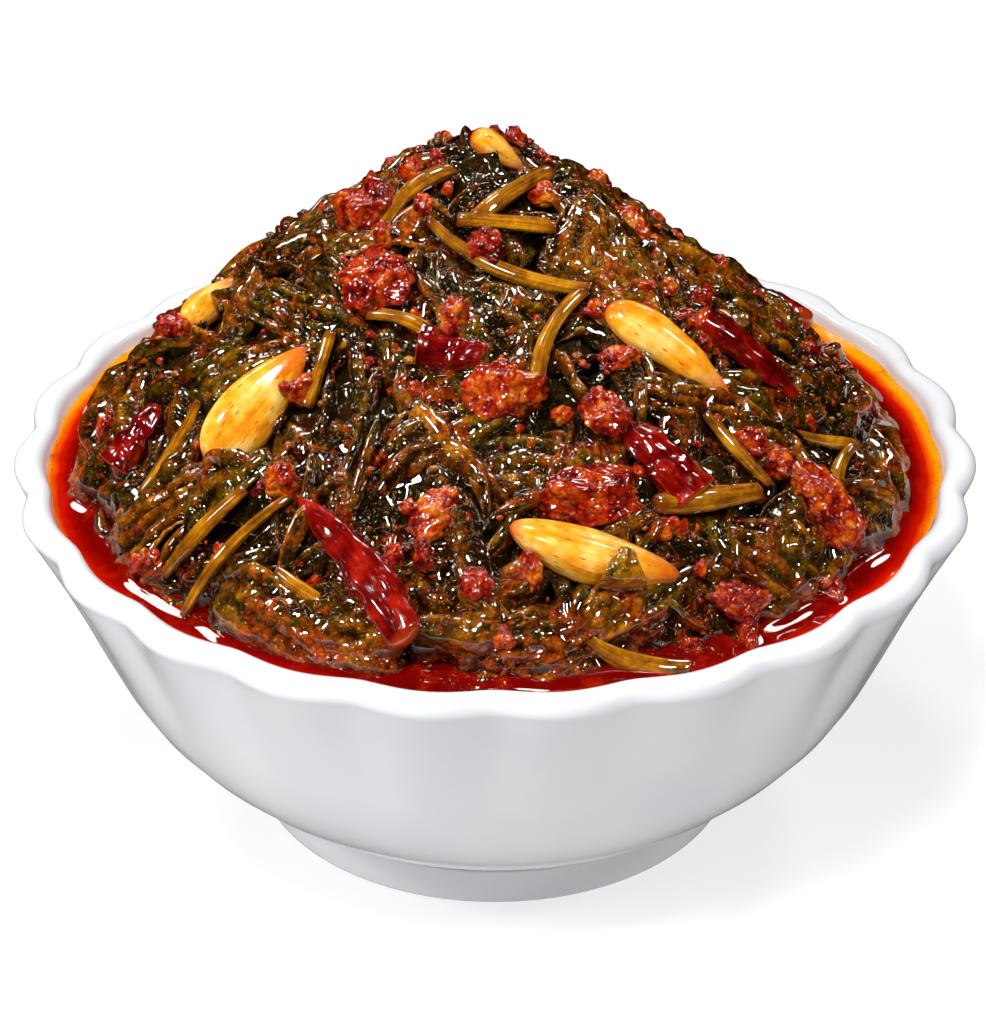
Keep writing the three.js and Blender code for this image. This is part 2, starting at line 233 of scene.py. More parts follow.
lobes = 23
rim_radius = 74.75
rim_height = 61.95
scallop = 1.15
lip_width = 4.3
lip_drop = 2.0
lip_start = -0.42                   # the angle at which the lip's round takes over from the sloping wall
oil_level = 59.5
flute_foot = 20.0                   # the flutes start at this height outside
inner_foot = oil_level - 2.5        # and at this height inside
floor_radius = 30                   # what lies further in than this stays round
steps_round = lobes * 14

outside = [(39.95, 6.78), (40.3, 7.05), (41.0, 7.75), (43.0, 9.1), (47.0, 12.1), (51.4, 15.8), (56.0, 20.5),
           (59.6, 25.2), (62.4, 30.2), (65.0, 36.4), (67.6, 43.2), (70.0, 49.0), (71.9, 53.4), (72.9, 55.6),
           (73.7, 57.4), (74.2, 58.5)]
foot_ring = [(0, 3.2), (33.8, 3.2), (34.9, 2.9), (36.5, 0.5), (37.1, 0.06), (38.0, 0.0), (39.2, 0.0),
             (39.6, 0.25), (39.8, 0.8), (39.8, 3.0), (39.75, 6.0), (39.72, 6.25), (39.6, 6.33), (38.9, 6.38),
             (38.85, 6.62), (39.7, 6.68)]
inside = [(70.2, 59.5), (69.3, 57.8), (67.9, 55.2), (66.2, 50.4), (63.6, 43.5), (60.6, 35), (56, 26.6),
          (50, 19.4), (42, 13.4), (30, 9.4), (15, 8), (0, 7.8)]


def rounded_lip():
    points = []
    for turn in np.linspace(lip_start, math.pi, 15):
        drop = lip_drop if turn < math.pi / 2 else lip_drop * 0.8
        points.append((rim_radius - lip_width / 2 + math.cos(turn) * lip_width / 2,
                       rim_height - drop + math.sin(turn) * drop))
    return points


def turned(profile, steps, closed=False):
    """A profile of (radius, height) turned round the middle; a closed one joins its end to its start."""
    shell = bmesh.new()
    ring = [shell.verts.new((radius * mm, 0, height * mm)) for radius, height in profile]
    following = ring[1:] + ring[:1] if closed else ring[1:]
    edges = [shell.edges.new(pair) for pair in zip(ring, following)]
    bmesh.ops.spin(shell, geom=ring + edges, axis=(0, 0, 1), cent=(0, 0, 0), angle=math.tau, steps=steps,
                   use_merge=True)
    bmesh.ops.remove_doubles(shell, verts=shell.verts, dist=1e-6)
    bmesh.ops.recalc_face_normals(shell, faces=shell.faces)
    return shell


def scalloped(shell):
    """Broad rounded lobes with narrow valleys: a lobe stands at +Y and a valley at -Y."""
    for vertex in shell.verts:
        x, y, z = (part / mm for part in vertex.co)
        radius = math.hypot(x, y)
        if z < flute_foot or radius < floor_radius:
            continue
        wave = 0.5 + 0.5 * math.cos(lobes * (math.atan2(y, x) - math.pi / 2))
        lobe = 2 * (wave + 0.05) ** 0.6 - 1.05
        inner = radius < rim_radius - lip_width * 0.5 - (rim_height - z) * 0.55
        foot = inner_foot if inner else flute_foot
        ramp = min(1, max(0, (z - foot) / (rim_height - foot)))
        push = scallop * (0.6 * ramp if inner else ramp**2) * lobe
        vertex.co.x *= 1 + push / radius
        vertex.co.y *= 1 + push / radius


def piece(name, body, look, nodes=()):
    mesh = body
    if isinstance(body, bmesh.types.BMesh):
        mesh = bpy.data.meshes.new(name)
        body.to_mesh(mesh)
        body.free()
    mesh.name = name
    mesh.shade_smooth()
    mesh.materials.append(look)
    made = bpy.data.objects.new(name, mesh)
    scene.collection.objects.link(made)
    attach(made, "root")
    if nodes:
        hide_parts(*nodes)


glass = Finish("white opal glass")
glass_cloud = glass.cloudy(glass.place(26), detail=2.0)
glass_ripple = glass.bump(glass.cloudy(glass.place(14), detail=1.0), 0.12)
opal = glass.skin(
    colour=glass.ramp(glass_cloud, (0.35, (0.735, 0.75, 0.775)), (0.65, (0.775, 0.785, 0.805))),
    roughness=glass.between(glass_cloud, 0.10, 0.16),
    normal=glass_ripple,
    subsurface_weight=0.15,
    subsurface_radius=(1, 1, 1),
    subsurface_scale=2 * mm,
)

bowl = turned(foot_ring + outside + rounded_lip() + inside, steps_round)
scalloped(bowl)
piece("bowl_shell", bowl, opal, ["bowl"])


# ---------------------------------------------------------------- core of the heap
# The imported leaves under the loose ones: a wet lump with its folds in relief, about 3 mm below the
# heap's surface, that fills the bowl below the oil too. It is coloured much darker than the loose leaves:
# painted shade in the gaps between them. The steep uneven surface is read once from the frame, with the
# hollows under the toppings closed over, and everything in the heap is laid on it.

heap_centre = np.array([-1.0, 2.0, 52.0]) * mm      # the surface is a distance from here in every direction
heap_turns = 240
heap_tilts = np.radians(np.arange(-24, 90.1, 1.5))
hollow = 4                          # hollows up to twice this many steps across are closed over
clear_turn, clear_span = 152, 26    # degrees: where the heap leaves a band of oil open on the left
clear_depth = 4.2
clear_tilt = 0.7                    # the band ends at this angle above the heap's centre
probe = 14                          # toppings are looked for this far out of the heap
core_depth = 3.0
core_relief = 1.6
core_floor = 9 * mm


def nodes_of(kind):
    names = [name for name in frame["nodes"] if name.startswith(kind + "_")]
    return sorted(names, key=lambda name: int(name.split("_")[1]))


def solid_tree(names):
    points, faces = [], []
    for name in names:
        mesh = frame["nodes"][name].data
        first = len(points)
        points += [tuple(vertex.co) for vertex in mesh.vertices]
        faces += [[first + index for index in polygon.vertices] for polygon in mesh.polygons]
    return BVHTree.FromPolygons(points, faces)


def spread(field, pick):
    """Takes the highest (or lowest) value among the neighbours, the same distance in every direction."""
    across = field.copy()
    for row, tilt in enumerate(heap_tilts):
        reach = min(heap_turns // 2, math.ceil(hollow / max(math.cos(tilt), 0.02)))
        for turn in range(1, reach + 1):
            both = pick(np.roll(field[row], turn), np.roll(field[row], -turn))
            across[row] = pick(across[row], both)
    out = across.copy()
    for step in range(1, hollow + 1):
        out[step:] = pick(out[step:], across[:-step])
        out[:-step] = pick(out[:-step], across[step:])
    return out


def softened(field, passes=2):
    for _ in range(passes):
        field = (field + np.roll(field, 1, 1) + np.roll(field, -1, 1)) / 3
        field[1:-1] = (field[1:-1] + field[2:] + field[:-2]) / 3
    field[-1] = field[-1].mean(axis=0)
    return field


def unit(vectors):
    return vectors / (np.linalg.norm(vectors, axis=-1, keepdims=True) + 1e-12)


turns = np.arange(heap_turns) * math.tau / heap_turns
tilt, turn = np.meshgrid(heap_tilts, turns, indexing="ij")
aims = np.stack([np.cos(tilt) * np.cos(turn), np.cos(tilt) * np.sin(turn), np.sin(tilt)], axis=-1)
leaf_tree = solid_tree(["pickle"])
heap_reach = np.array([[leaf_tree.ray_cast(heap_centre, aim)[3] for aim in row] for row in aims])
heap_reach = softened(spread(spread(heap_reach, np.maximum), np.minimum))
clear = np.exp(-(((np.arange(heap_turns) * 360 / heap_turns - clear_turn) / clear_span) ** 2))
heap_reach -= clear_depth * mm * clear * np.clip(1 - np.abs(heap_tilts) / clear_tilt, 0, 1)[:, None]
heap_points = heap_centre + aims * heap_reach[..., None]
turnwise = np.roll(heap_points, -1, 1) - np.roll(heap_points, 1, 1)
heap_normals = unit(np.cross(turnwise, np.gradient(heap_points, axis=0)))
heap_normals[-2:] = (0, 0, 1)       # the tip
heap_normals = softened(heap_normals)


def topping_cover(names):
    """1 where one of these lies on the heap, 0 away from it: leaves dip there to let it show."""
    tree = solid_tree(names)
    cover = np.zeros(aims.shape[:2])
    for index in np.ndindex(cover.shape):
        start = Vector(heap_points[index] - aims[index] * 5 * mm)
        if tree.ray_cast(start, Vector(aims[index]), probe * mm)[0] is not None:
            cover[index] = 1
    return cover


def narrowed(cover):
    """Takes one step off every edge, so that leaves lap over the edges of a thick piece."""
    kept = np.minimum(cover, np.minimum(np.roll(cover, 1, 1), np.roll(cover, -1, 1)))
    kept[1:-1] = np.minimum(kept[1:-1], np.minimum(cover[2:], cover[:-2]))
    return kept


thick_cover = narrowed(topping_cover(nodes_of("garlic") + nodes_of("chilli") + nodes_of("masala")))
heap_cover = softened(np.maximum(thick_cover, topping_cover(nodes_of("stem"))), 1)


def sampled(field, aim):
    """Reads a field of the heap's surface in any directions, smoothly between its steps."""
    turn = (np.arctan2(aim[..., 1], aim[..., 0]) % math.tau) / math.tau * heap_turns
    tilt = np.arcsin(np.clip(aim[..., 2], -1, 1))
    row = np.clip((tilt - heap_tilts[0]) / (heap_tilts[1] - heap_tilts[0]), 0, len(heap_tilts) - 1.001)
    low_row, low_turn = np.floor(row).astype(int), np.floor(turn).astype(int) % heap_turns
    share_row, share_turn = row - low_row, turn - np.floor(turn)
    if field.ndim == 3:
        share_row, share_turn = share_row[..., None], share_turn[..., None]
    next_turn = (low_turn + 1) % heap_turns
    low, high = (field[step, low_turn] * (1 - share_turn) + field[step, next_turn] * share_turn
                 for step in (low_row, low_row + 1))
    return low * (1 - share_row) + high * share_row


def on_heap(points):
    """The heap's surface over or under each point: places, normals and directions from its centre."""
    aim = unit(points - heap_centre)
    return heap_centre + aim * sampled(heap_reach, aim)[..., None], unit(sampled(heap_normals, aim)), aim


def ripple(points, size, seed):
    """Smooth unevenness of about this size in millimetres, between -1 and 1."""
    waves = 7
    pick = np.random.default_rng(seed)
    total = np.zeros(points.shape[:-1])
    for _ in range(waves):
        way = unit(pick.normal(size=3)) * pick.uniform(0.75, 1.5) * math.tau / (size * mm)
        total += np.sin(points @ way + pick.uniform(0, math.tau))
    return total / math.sqrt(waves) / 1.4


def taken_out(body):
    """The corners and triangles of a body that is then let go."""
    corners = np.array([vertex.co for vertex in body.verts])
    triangles = np.array([[corner.index for corner in face.verts] for face in body.faces])
    body.free()
    return corners, triangles


def round_shape(around, along):
    ball = bmesh.new()
    bmesh.ops.create_uvsphere(ball, u_segments=around, v_segments=along, radius=1)
    bmesh.ops.triangulate(ball, faces=ball.faces)
    return taken_out(ball)


def joined_mesh(points, triangles, fields=None):
    """Many bodies of one shape as one mesh: points is (bodies, corners, 3) and fields go with the points."""
    bodies, corners = points.shape[:2]
    faces = (triangles[None] + (np.arange(bodies) * corners)[:, None, None]).reshape(-1, 3)
    mesh = bpy.data.meshes.new("bodies")
    mesh.vertices.add(bodies * corners)
    mesh.vertices.foreach_set("co", points.reshape(-1).astype(np.float32))
    mesh.loops.add(faces.size)
    mesh.loops.foreach_set("vertex_index", faces.reshape(-1).astype(np.int32))
    mesh.polygons.add(len(faces))
    mesh.polygons.foreach_set("loop_start", np.arange(0, faces.size, 3, dtype=np.int32))
    mesh.update(calc_edges=True)
    for field, values in (fields or {}).items():
        kind, part = ("FLOAT_VECTOR", "vector") if values.ndim == 3 else ("FLOAT", "value")
        layer = mesh.attributes.new(field, kind, "POINT")
        layer.data.foreach_set(part, values.reshape(-1).astype(np.float32))
    return mesh


def pebbled(finish, depth, cells=0.45, grain=2.2, more=0.0):
    """Small round grains all over a lumpy surface, each of which catches a spark. Gives the normal, the
    distance from the nearest grain's middle and a chance value for each grain."""
    wander = finish.cloudy(finish.place(2.4), detail=2.0, rough=0.7) * 1.2
    shifted = finish.node("ShaderNodeVectorMath", {"operation": "ADD"}, {0: finish.place(1), 1: wander})
    bead = finish.grains(shifted)
    mixed_chance = Value(finish, bead.socket.node.outputs["Color"])
    chance = finish.node("ShaderNodeSeparateColor", {}, {"Color": mixed_chance}, output="Red")
    rough = finish.between(finish.cloudy(finish.place(6), detail=1.0), 0.75, 1.0, 0.36, 0.44)
    lumps = finish.cloudy(finish.place(grain), detail=1.5)
    return finish.bump((lumps - bead * bead * cells) * rough + more, depth), bead, chance


def wet(finish, tint=(1.0, 0.72, 0.34), clear=1.8, gloss=0.12, blur=0.03):
    """Everything in the bowl is coated with clear oil, which is sharp, over a warm gloss on every grain."""
    sockets = finish.shader.inputs
    sockets["IOR"].default_value = 1.5
    sockets["Specular IOR Level"].default_value = gloss
    sockets["Specular Tint"].default_value = (*tint, 1)
    sockets["Coat IOR"].default_value = clear
    sockets["Coat Roughness"].default_value = blur


core_corners, core_triangles = round_shape(160, 120)
core_points, core_normals, _ = on_heap(heap_centre + unit(core_corners))
core_folds = 1 - 2 * np.abs(ripple(core_points, 8, 3)) + 0.5 * ripple(core_points, 3.1, 4)
core_points += core_normals * ((core_folds * core_relief - core_depth) * mm)[:, None]
core_points[:, 2] = np.maximum(core_points[:, 2], core_floor)
core_look = Finish("packed leaves in painted shade")
core_tone = core_look.cloudy(core_look.place(5), detail=3.0)
# Much darker than the loose leaves: painted shade in the gaps between them.
core_skin = core_look.skin(
    colour=core_look.ramp(core_tone, (0.3, (0.006, 0.004, 0.001)), (0.55, (0.024, 0.013, 0.002)),
                          (0.72, (0.07, 0.012, 0.002))),
    roughness=0.24,
    normal=pebbled(core_look, 0.8)[0],
    coat=1.0,
)
wet(core_look)
piece("leaf_core", joined_mesh(core_points[None], core_triangles), core_skin, ["pickle"])


# ---------------------------------------------------------------- leaves
# Sorrel leaves cooked down to wet dark folds. Each is a crumpled closed body, pleated along its length,
# that starts high on the heap and hangs down its slope, over and under its neighbours.


def rod_shape(around, along):
    """A closed rod: for every corner its share of the length and its angle round, and its triangles."""
    corners, triangles = round_shape(around, along)
    share = np.arccos(np.clip(corners[:, 2], -1, 1)) / math.pi
    return share, np.arctan2(corners[:, 1], corners[:, 0]), triangles


def spots_on_heap(count, seed, low, high):
    """Directions of spots spread evenly over the heap's surface, between two tilts."""
    pick = np.random.default_rng(seed)
    tilt = heap_tilts[:, None]
    facing = np.clip((heap_normals * aims).sum(-1), 0.2, 1)
    weight = heap_reach**2 * np.cos(tilt) / facing * ((tilt > low) & (tilt < high))
    cells = pick.choice(weight.size, count, p=(weight / weight.sum()).ravel())
    return aims.reshape(-1, 3)[cells] + pick.normal(scale=0.01, size=(count, 3))


def laid_paths(starts, length, swerve, bend):
    """Walks each piece down the heap from its start: points, headings and normals at its stations."""
    stations = 12
    point, normal, _ = on_heap(heap_centre + unit(starts))
    down = np.array([0.0, 0.0, -1.0]) - normal * -normal[:, 2:3]
    ahead = turned_about(unit(down), normal, swerve)
    points, headings, normals = [], [], []
    for _ in range(stations):
        points.append(point)
        headings.append(ahead)
        normals.append(normal)
        step = (length / (stations - 1))[:, None]
        following, normal, _ = on_heap(point + ahead * step)
        ahead = turned_about(unit(following - point), normal, bend / stations)
        ahead = unit(ahead - normal * (ahead * normal).sum(-1, keepdims=True))
        point = following
    return [np.stack(track, axis=1) for track in (points, headings, normals)]


def heading_along(ends):
    """For leaves laid from one place to another: starts, lengths and turns from straight down the slope."""
    point, normal, _ = on_heap(ends[:, 0])
    toward = on_heap(ends[:, 1])[0] - point
    down = unit(np.array([0.0, 0.0, -1.0]) - normal * -normal[:, 2:3])
    turn = np.arctan2((np.cross(down, toward) * normal).sum(-1), (down * toward).sum(-1))
    return point - heap_centre, np.linalg.norm(toward, axis=-1, keepdims=True) * 1.15, turn


def turned_about(vectors, axis, angle):
    cosine, sine = np.cos(angle)[:, None], np.sin(angle)[:, None]
    return vectors * cosine + np.cross(axis, vectors) * sine


def along_paths(track, share):
    """Reads a track of stations at each corner's share of the length."""
    station = np.clip(share, 0, 1) * (track.shape[1] - 1.001)
    low = np.floor(station).astype(int)
    part = (station - low)[None, :, None]
    return track[:, low] * (1 - part) + track[:, low + 1] * part


def standing_out(points, normals, names):
    """How far these solids stand out of the heap within 1 mm of each point, in millimetres."""
    tree, highest = solid_tree(names), np.zeros(points.shape[:-1])
    for shift in np.vstack([np.zeros(3), np.eye(3), -np.eye(3)]) * mm:
        for index in np.ndindex(highest.shape):
            start = Vector(points[index] + shift + normals[index] * probe * mm)
            distance = tree.ray_cast(start, -Vector(normals[index]), probe * mm)[3]
            if distance is not None:
                highest[index] = max(highest[index], probe - distance / mm)
    return highest


def leaves(name, count, seed, around, along, width, thick, arch, lift, pleats, relief, length=(1, 1),
           swerve=(0, 0.8), tilts=(-0.05, 1.5), laid=None, over=()):
    """Crumpled leaves as one piece: sizes are (least, most) in millimetres. arch is how far the middle
    stands over the edges, pleats the number of folds across the width and relief their height. swerve is
    the angle from straight down the slope (middle, spread) and tilts the part of the heap. Where laid is
    given, each leaf runs from its first place to its second. Leaves dip under the toppings, but rise over
    those named in over."""
    pick = np.random.default_rng(seed)
    share, angle, triangles = rod_shape(around, along)
    share = share[None]

    def each(least, most):
        return pick.uniform(least, most, count)[:, None]

    def wave(least, most):
        """A slow wave along each leaf, with this many radians over its length."""
        return np.sin(share * each(least, most) + each(0, math.tau))

    lengths = each(*length) * mm
    turns = pick.normal(*swerve, count) * pick.choice((-1, 1), count)
    starts = spots_on_heap(count, seed, *tilts)
    bends = pick.normal(0, 0.9, count)
    if laid is not None:
        starts, lengths, turns = heading_along(np.array(laid, float) * mm)
        bends = bends * 0.4
    tracks = laid_paths(starts, lengths[:, 0], turns, bends)
    point, ahead, normal = (along_paths(track, share[0]) for track in tracks)
    side = np.cross(normal, ahead)
    outline = np.sin(math.pi * (0.03 + 0.94 * share)) ** 0.5
    cross = np.cos(angle)[None] * np.ones_like(outline)
    half = each(*width) / 2 * mm * outline * (1 + 0.17 * wave(4, 10) + 0.05 * wave(12, 18))
    across = cross * half + 0.8 * mm * wave(4, 9)
    flat = point + side * across[..., None]
    phase = cross * each(*pleats) * math.pi / 2 + each(0, math.tau) + 0.7 * wave(2, 5)
    pleat = 2 * np.abs(np.cos(phase)) ** 0.8 - 1
    crumple = ripple(flat, 6.0, seed + 1) * 0.6 + ripple(flat, 2.6, seed + 2) * 0.24
    height = each(*lift) + (each(*arch) * (0.4 - cross**2) + each(*relief) * pleat + crumple) * outline
    height += each(-1.8, 1.8) * (share - 0.5) - 1.8 * (np.abs(share - 0.5) * 2) ** 4
    flat_aim = unit(flat - heap_centre)
    cover = sampled(heap_cover, flat_aim)
    summit = np.clip((flat_aim[..., 2] - 0.93) / 0.07, 0, 1)
    height = np.minimum(height, 1.6 - 1.2 * summit)
    height = height + standing_out(flat, normal, over) if over else height * (1 - cover) - 2.8 * cover
    skin = np.sin(angle)[None] * each(*thick) / 2 * outline**0.6
    points = flat + normal * ((height + skin) * mm)[..., None]
    margin = np.abs(cross) ** 4
    # Painted light and shade: fold crests, leaves lying high and the edges are made lighter, and the folds'
    # valleys and leaves lying low darker; the ripple adds tone at random.
    ridge = 0.34 + 0.28 * pleat + 0.35 * margin + 0.14 * ripple(flat, 3.0, seed + 3) + 0.22 * height
    ridge = np.clip(ridge, 0, 1)
    fields = {"ridge": ridge, "tone": each(0, 1) * np.ones_like(outline),
              "lie": np.stack([share * lengths, across, skin * 3 * mm], axis=-1)}
    piece(name, joined_mesh(points, triangles, fields), leaf_skin)


leaf = Finish("cooked sorrel leaf")
leaf_crease = leaf.cloudy(leaf.place(1, (7, 0.9, 0.9), "lie"), detail=2.0)
leaf_normal, leaf_bead, leaf_chance = pebbled(leaf, 0.95)
leaf_fine = leaf.cloudy(leaf.place(1.4), detail=3.0, rough=0.65)
# The leaves' painted light on crests and edges and painted shade in the folds, as an attribute.
leaf_ridge = leaf.attribute("ridge")
leaf_cloud = leaf.cloudy(leaf.place(3.2), detail=2.0, rough=0.6)
# The tone is darker away from each grain's middle: painted shade between the grains.
leaf_tone = (leaf_ridge * 0.66 + leaf_cloud * 0.40 + leaf.attribute("tone") * 0.22 + leaf_crease * 0.2
             + leaf_fine * 0.85 + leaf_chance * 0.10 - leaf_bead * 0.12 - 0.85)
leaf_olive = leaf.ramp(leaf_tone, (0.18, (0.008, 0.004, 0.0003)), (0.40, (0.050, 0.025, 0.0005)),
                       (0.60, (0.15, 0.068, 0.001)), (0.85, (0.45, 0.20, 0.003)))
leaf_brown = leaf.ramp(leaf_tone, (0.18, (0.012, 0.003, 0.0003)), (0.40, (0.085, 0.021, 0.0005)),
                       (0.60, (0.23, 0.060, 0.001)), (0.85, (0.55, 0.18, 0.003)))
leaf_hue = leaf.between(leaf.cloudy(leaf.place(9), detail=1.0) + leaf.attribute("tone") * 0.3,
                        0.0, 1.0, 0.5, 0.75)
leaf_colour = leaf.mixed(leaf_hue, leaf_olive, leaf_brown)
leaf_low = leaf.between(leaf.node("ShaderNodeSeparateXYZ", {}, {"Vector": leaf.place(1)}, output="Z"),
                        0.10, 0.0, 58.0, 74.0)
leaf_rust = leaf.between(leaf.cloudy(leaf.place(6), detail=4.0, rough=0.7) + leaf_ridge * 0.10 + leaf_low,
                         0.0, 0.75, 0.60, 0.72)
leaf_stain = (leaf_rust + leaf.between(leaf_chance, 0.0, 0.6, 0.91, 0.95)).clamped()
leaf_red = leaf.ramp(leaf_fine, (0.38, (0.08, 0.003, 0.0005)), (0.64, (0.42, 0.045, 0.001)))
leaf_skin = leaf.skin(
    colour=leaf.mixed(leaf_stain, leaf_colour, leaf_red),
    roughness=leaf.between(leaf_cloud, 0.10, 0.16),
    normal=leaf_normal,
    coat=1.0,
)
wet(leaf, (1.0, 0.75, 0.40), gloss=0.35)

large_leaves = [
    ((-17, -43, 80), (3, -31, 85)), ((-22, -24, 91), (-43, -20, 82)), ((18, -30, 88), (43, -22, 76)),
    ((-31, 2, 94), (-9, -8, 104)), ((29, -49, 70), (10, -60, 65)), ((30, -46, 74), (46, -45, 59)),
    ((-40, -34, 75), (-57, -33, 59)), ((-42, -48, 64), (-22, -60, 62)), ((49, -35, 65), (62, -24, 59)),
    ((-3, -20, 97), (14, -18, 95)), ((-38, -4, 88), (-20, -25, 92)), ((-4, -63, 65), (13, -62, 61)),
    ((8, 2, 104), (26, -4, 95)), ((6, -12, 98), (23, -13, 92)), ((12, 0, 101), (16, -18, 94)),
    ((-12, -22, 95), (-6, -38, 86)), ((30, -2, 91), (48, 2, 78)), ((-4, -40, 81), (16, -38, 83))]
lapping_leaves = [((-32, -35.6, 79), (-46, -35.5, 69.5)), ((18.3, -52, 71), (14, -61, 63))]

leaves("leaf_sheets", 48, 31, 28, 42, length=(18, 34), width=(11, 18), thick=(1.2, 1.8), arch=(-0.6, 2.2),
       lift=(-2.2, 0.0), pleats=(2.5, 4.6), relief=(0.6, 1.2))
leaves("leaf_folds", 175, 11, 14, 28, length=(15, 30), width=(4.8, 8), thick=(1.8, 2.8), arch=(1.4, 2.8),
       lift=(-2.2, 0.4), pleats=(1.2, 2.4), relief=(0.2, 0.6))
leaves("leaf_strips", 230, 23, 12, 28, length=(10, 26), width=(1.8, 3.6), thick=(2.0, 3.2), arch=(0.4, 1.0),
       lift=(-0.8, 1.2), pleats=(0.6, 1.4), relief=(0.0, 0.2))
leaves("large_leaves", len(large_leaves), 71, 32, 48, width=(10, 16), thick=(1.3, 1.9), arch=(0.8, 2.0),
       lift=(0.0, 0.7), pleats=(3.0, 5.0), relief=(0.6, 1.0), laid=large_leaves)
leaves("leaves_over_garlic", len(lapping_leaves), 83, 28, 44, width=(7.5, 8.5), thick=(1.3, 1.8),
       arch=(0.4, 1.0), lift=(0.9, 1.3), pleats=(2.0, 3.0), relief=(0.3, 0.6), laid=lapping_leaves,
       over=nodes_of("garlic"))
leaves("leaves_at_the_oil", 60, 47, 16, 30, length=(12, 24), width=(5, 9), thick=(2.2, 3.6), arch=(1.0, 2.4),
       lift=(-0.6, 0.6), pleats=(1.4, 3.0), relief=(0.3, 0.8), swerve=(1.3, 0.5), tilts=(-0.03, 0.2))


# ---------------------------------------------------------------- garlic
# Whole cloves, cooked in the oil: a blunt root end, a full belly with a keel and flat flanks where it
# lay against its neighbours, and a drawn-out tip. Cream to amber, stained red at the ends. Like every
# topping, a clove is made along the middle line of the frame's solid, bent as it bends.


class Lie:
    """Where a long solid lies: its middle line from the thick end to the thin one, and its sizes."""

    def __init__(self, name):
        corners = np.unique([tuple(vertex.co) for vertex in frame["nodes"][name].data.vertices], axis=0)
        self.middle = (corners.min(0) + corners.max(0)) / 2
        along = np.linalg.svd(corners - corners.mean(0), full_matrices=False)[2][0]
        above = on_heap(self.middle[None])[1][0]
        self.up = unit(above - along * (above @ along))
        self.head_along(along)
        if self.width_near(corners, -1) < self.width_near(corners, 1):
            self.head_along(-along)
        axes = np.stack([self.along, self.side, self.up], axis=1)
        local = (corners - self.middle) @ axes
        self.middle = self.middle + self.along * (local[:, 0].max() + local[:, 0].min()) / 2
        self.length = np.ptp(local[:, 0])
        along, side, up = ((corners - self.middle) @ axes).T
        self.side_bend, self.up_bend = np.polyfit(along, side, 2), np.polyfit(along, up, 2)
        self.width = np.ptp(side - np.polyval(self.side_bend, along))
        self.height = np.ptp(up - np.polyval(self.up_bend, along))

    def head_along(self, along):
        self.along, self.side = along, np.cross(self.up, along)

    def width_near(self, corners, end):
        place = (corners - self.middle) @ self.along * end
        near = corners[place > place.max() * 0.35]
        return np.ptp((near - self.middle) @ self.side)

    def points(self, along, side, up):
        """Local places beside the middle line, in metres, as places in the frame."""
        side = side + np.polyval(self.side_bend, along)
        up = up + np.polyval(self.up_bend, along)
        return self.middle + along[:, None] * self.along + side[:, None] * self.side + up[:, None] * self.up


def laid_piece(name, node, place, triangles, look):
    """One piece in a solid's place; place is (along, side, up) beside the solid's middle line."""
    lie = Lie(node)
    along, side, up = place(lie)
    fields = {"lie": np.stack([along, side, up], axis=-1)[None],
              "share": (along / lie.length + 0.5)[None],
              "above": (up / max(lie.height, lie.width) * 2)[None]}
    body = joined_mesh(lie.points(along, side, up)[None], triangles, fields)
    piece(name, body, look, [node])


clove_share, clove_angle, clove_triangles = rod_shape(40, 60)

garlic = Finish("oily garlic")
garlic_fibre = garlic.cloudy(garlic.place(1, (9, 1.1, 1.1), "lie"), detail=2.0)
garlic_blotch = garlic.cloudy(garlic.place(5), detail=2.0)
garlic_tip = garlic.between(garlic.attribute("share"), 0.0, 1.0, 0.62, 1.0)
garlic_root = garlic.between(garlic.attribute("share"), 1.0, 0.0, 0.0, 0.12)
# Besides the red at both ends, the clove turns amber to red towards its underside.
garlic_under = garlic.between(garlic.attribute("above"), 0.9, 0.0, -0.7, 0.2)
garlic_stain = (garlic_tip + garlic_root + garlic_under + garlic_blotch - 0.6).clamped()
garlic_base = garlic.ramp(garlic_blotch * 0.7 + garlic_fibre * 0.3, (0.36, (0.76, 0.19, 0.004)),
                          (0.48, (0.91, 0.38, 0.015)), (0.62, (0.95, 0.64, 0.16)))
garlic_speck = garlic.between(garlic.grains(garlic.place(1.5, (2.0, 0.6, 0.6), "lie")),
                              1.0, 0.0, 0.13, 0.22)
garlic_tinted = garlic.mixed(garlic_stain * 0.9, garlic_base, (0.60, 0.055, 0.001))
garlic_skin = garlic.skin(
    colour=garlic.mixed(garlic_speck * 0.7, garlic_tinted, (0.45, 0.07, 0.002)),
    roughness=garlic.between(garlic_blotch, 0.2, 0.34),
    normal=garlic.bump(garlic_fibre * 0.8 + garlic.cloudy(garlic.place(2.2)), 0.42),
    coat=1.0,
    subsurface_weight=0.15,
    subsurface_radius=(1.0, 0.5, 0.1),
    subsurface_scale=1.2 * mm,
)
wet(garlic, (1, 0.9, 0.7), 1.42, blur=0.12)


def clove(seed, plump, spindle):
    pick = np.random.default_rng(seed)
    keel, flank = math.pi / 2 + pick.uniform(-0.6, 0.6), pick.uniform(0.05, 0.10)

    def place(lie):
        share, angle = clove_share, clove_angle
        radius = np.sin(math.pi * share**0.72) ** 0.62 * (1.04 - 0.3 * share)
        if spindle:
            radius = np.sin(math.pi * share**0.9) ** 0.58
        turned = angle - keel
        ribs = 0.09 * np.exp(-((np.sin(turned / 2) / 0.16) ** 2)) + flank * np.cos(3 * turned)
        ribs = ribs + 0.02 * np.cos(11 * turned + 3 * share) * np.sin(math.pi * share)
        radius = radius * (1 + ribs)
        along = (share - 0.5) * lie.length * 0.99
        dent = 0.12 * mm * ripple(np.stack([along, radius * 2 * mm, angle * mm], axis=-1), 8, seed + 7)
        wide, tall = lie.width / 2 * plump, max(lie.height, lie.width * 0.8) / 2 * 0.97
        return along, np.cos(angle) * (radius * wide + dent), np.sin(angle) * (radius * tall + dent)

    return place


